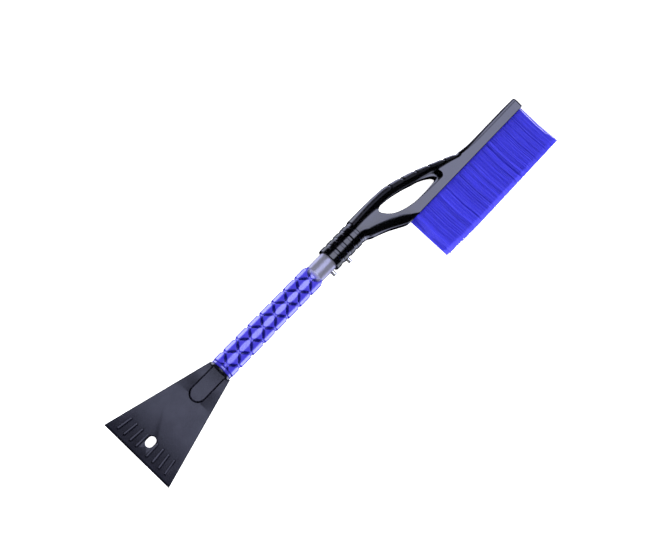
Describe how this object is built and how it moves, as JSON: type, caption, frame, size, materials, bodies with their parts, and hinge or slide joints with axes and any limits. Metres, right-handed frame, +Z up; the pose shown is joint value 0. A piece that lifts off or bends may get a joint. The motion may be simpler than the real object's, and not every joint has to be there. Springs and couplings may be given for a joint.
{
  "type": "windshield ice scraper",
  "caption": "Ribbed ice scraper blade on a tube with a soft grip, and a pull-off snow brush head with a hand loop held by spring buttons.",
  "frame": {"origin": "centre of the bounding box at its lowest point, with the tool lying on its side", "axes": "+X along the tool from the cutting edge to the brush end, -Y the way the bristles point, +Z up through the tool's thickness"},
  "size_m": [0.652, 0.154, 0.034],
  "materials": {
    "blade": "dark blue-grey moulded plastic, satin",
    "tube": "satin anodised aluminium",
    "grip": "blue translucent soft grip",
    "steel": "spring steel",
    "button": "bright plated steel",
    "head": "glossy black moulded plastic",
    "strip": "black soft overmould",
    "bristle": "blue plastic filaments"
  },
  "bodies": {
    "handle": {"scraper_head": "blade", "handle_tube": "tube", "grip_sleeve": "grip", "spigot_pin": "steel"},
    "buttons": {"release_button": "button", "lock_button": "button", "spring_clip": "steel"},
    "brush": {"brush_head": "head", "arch_grip_strip": "strip", "bristle_row_1": "bristle", "bristle_row_2": "bristle", "bristle_row_3": "bristle", "bristle_row_4": "bristle", "staple_row_1": "steel", "staple_row_2": "steel", "staple_row_3": "steel", "staple_row_4": "steel"}
  },
  "joints": [
    {"name": "button_press", "type": "hinge", "parent": "handle", "child": "buttons", "pos_m": [-0.0486, 0.017, 0.017], "axis": [0, 0, 1], "range_deg": [0, 7.5], "stiffness_Nm_per_rad": 0.6, "deforming": ["spring_clip"]},
    {"name": "brush_pull", "type": "slide", "parent": "handle", "child": "brush", "axis": [1, 0, 0], "range_m": [0, 0.138]}
  ]
}
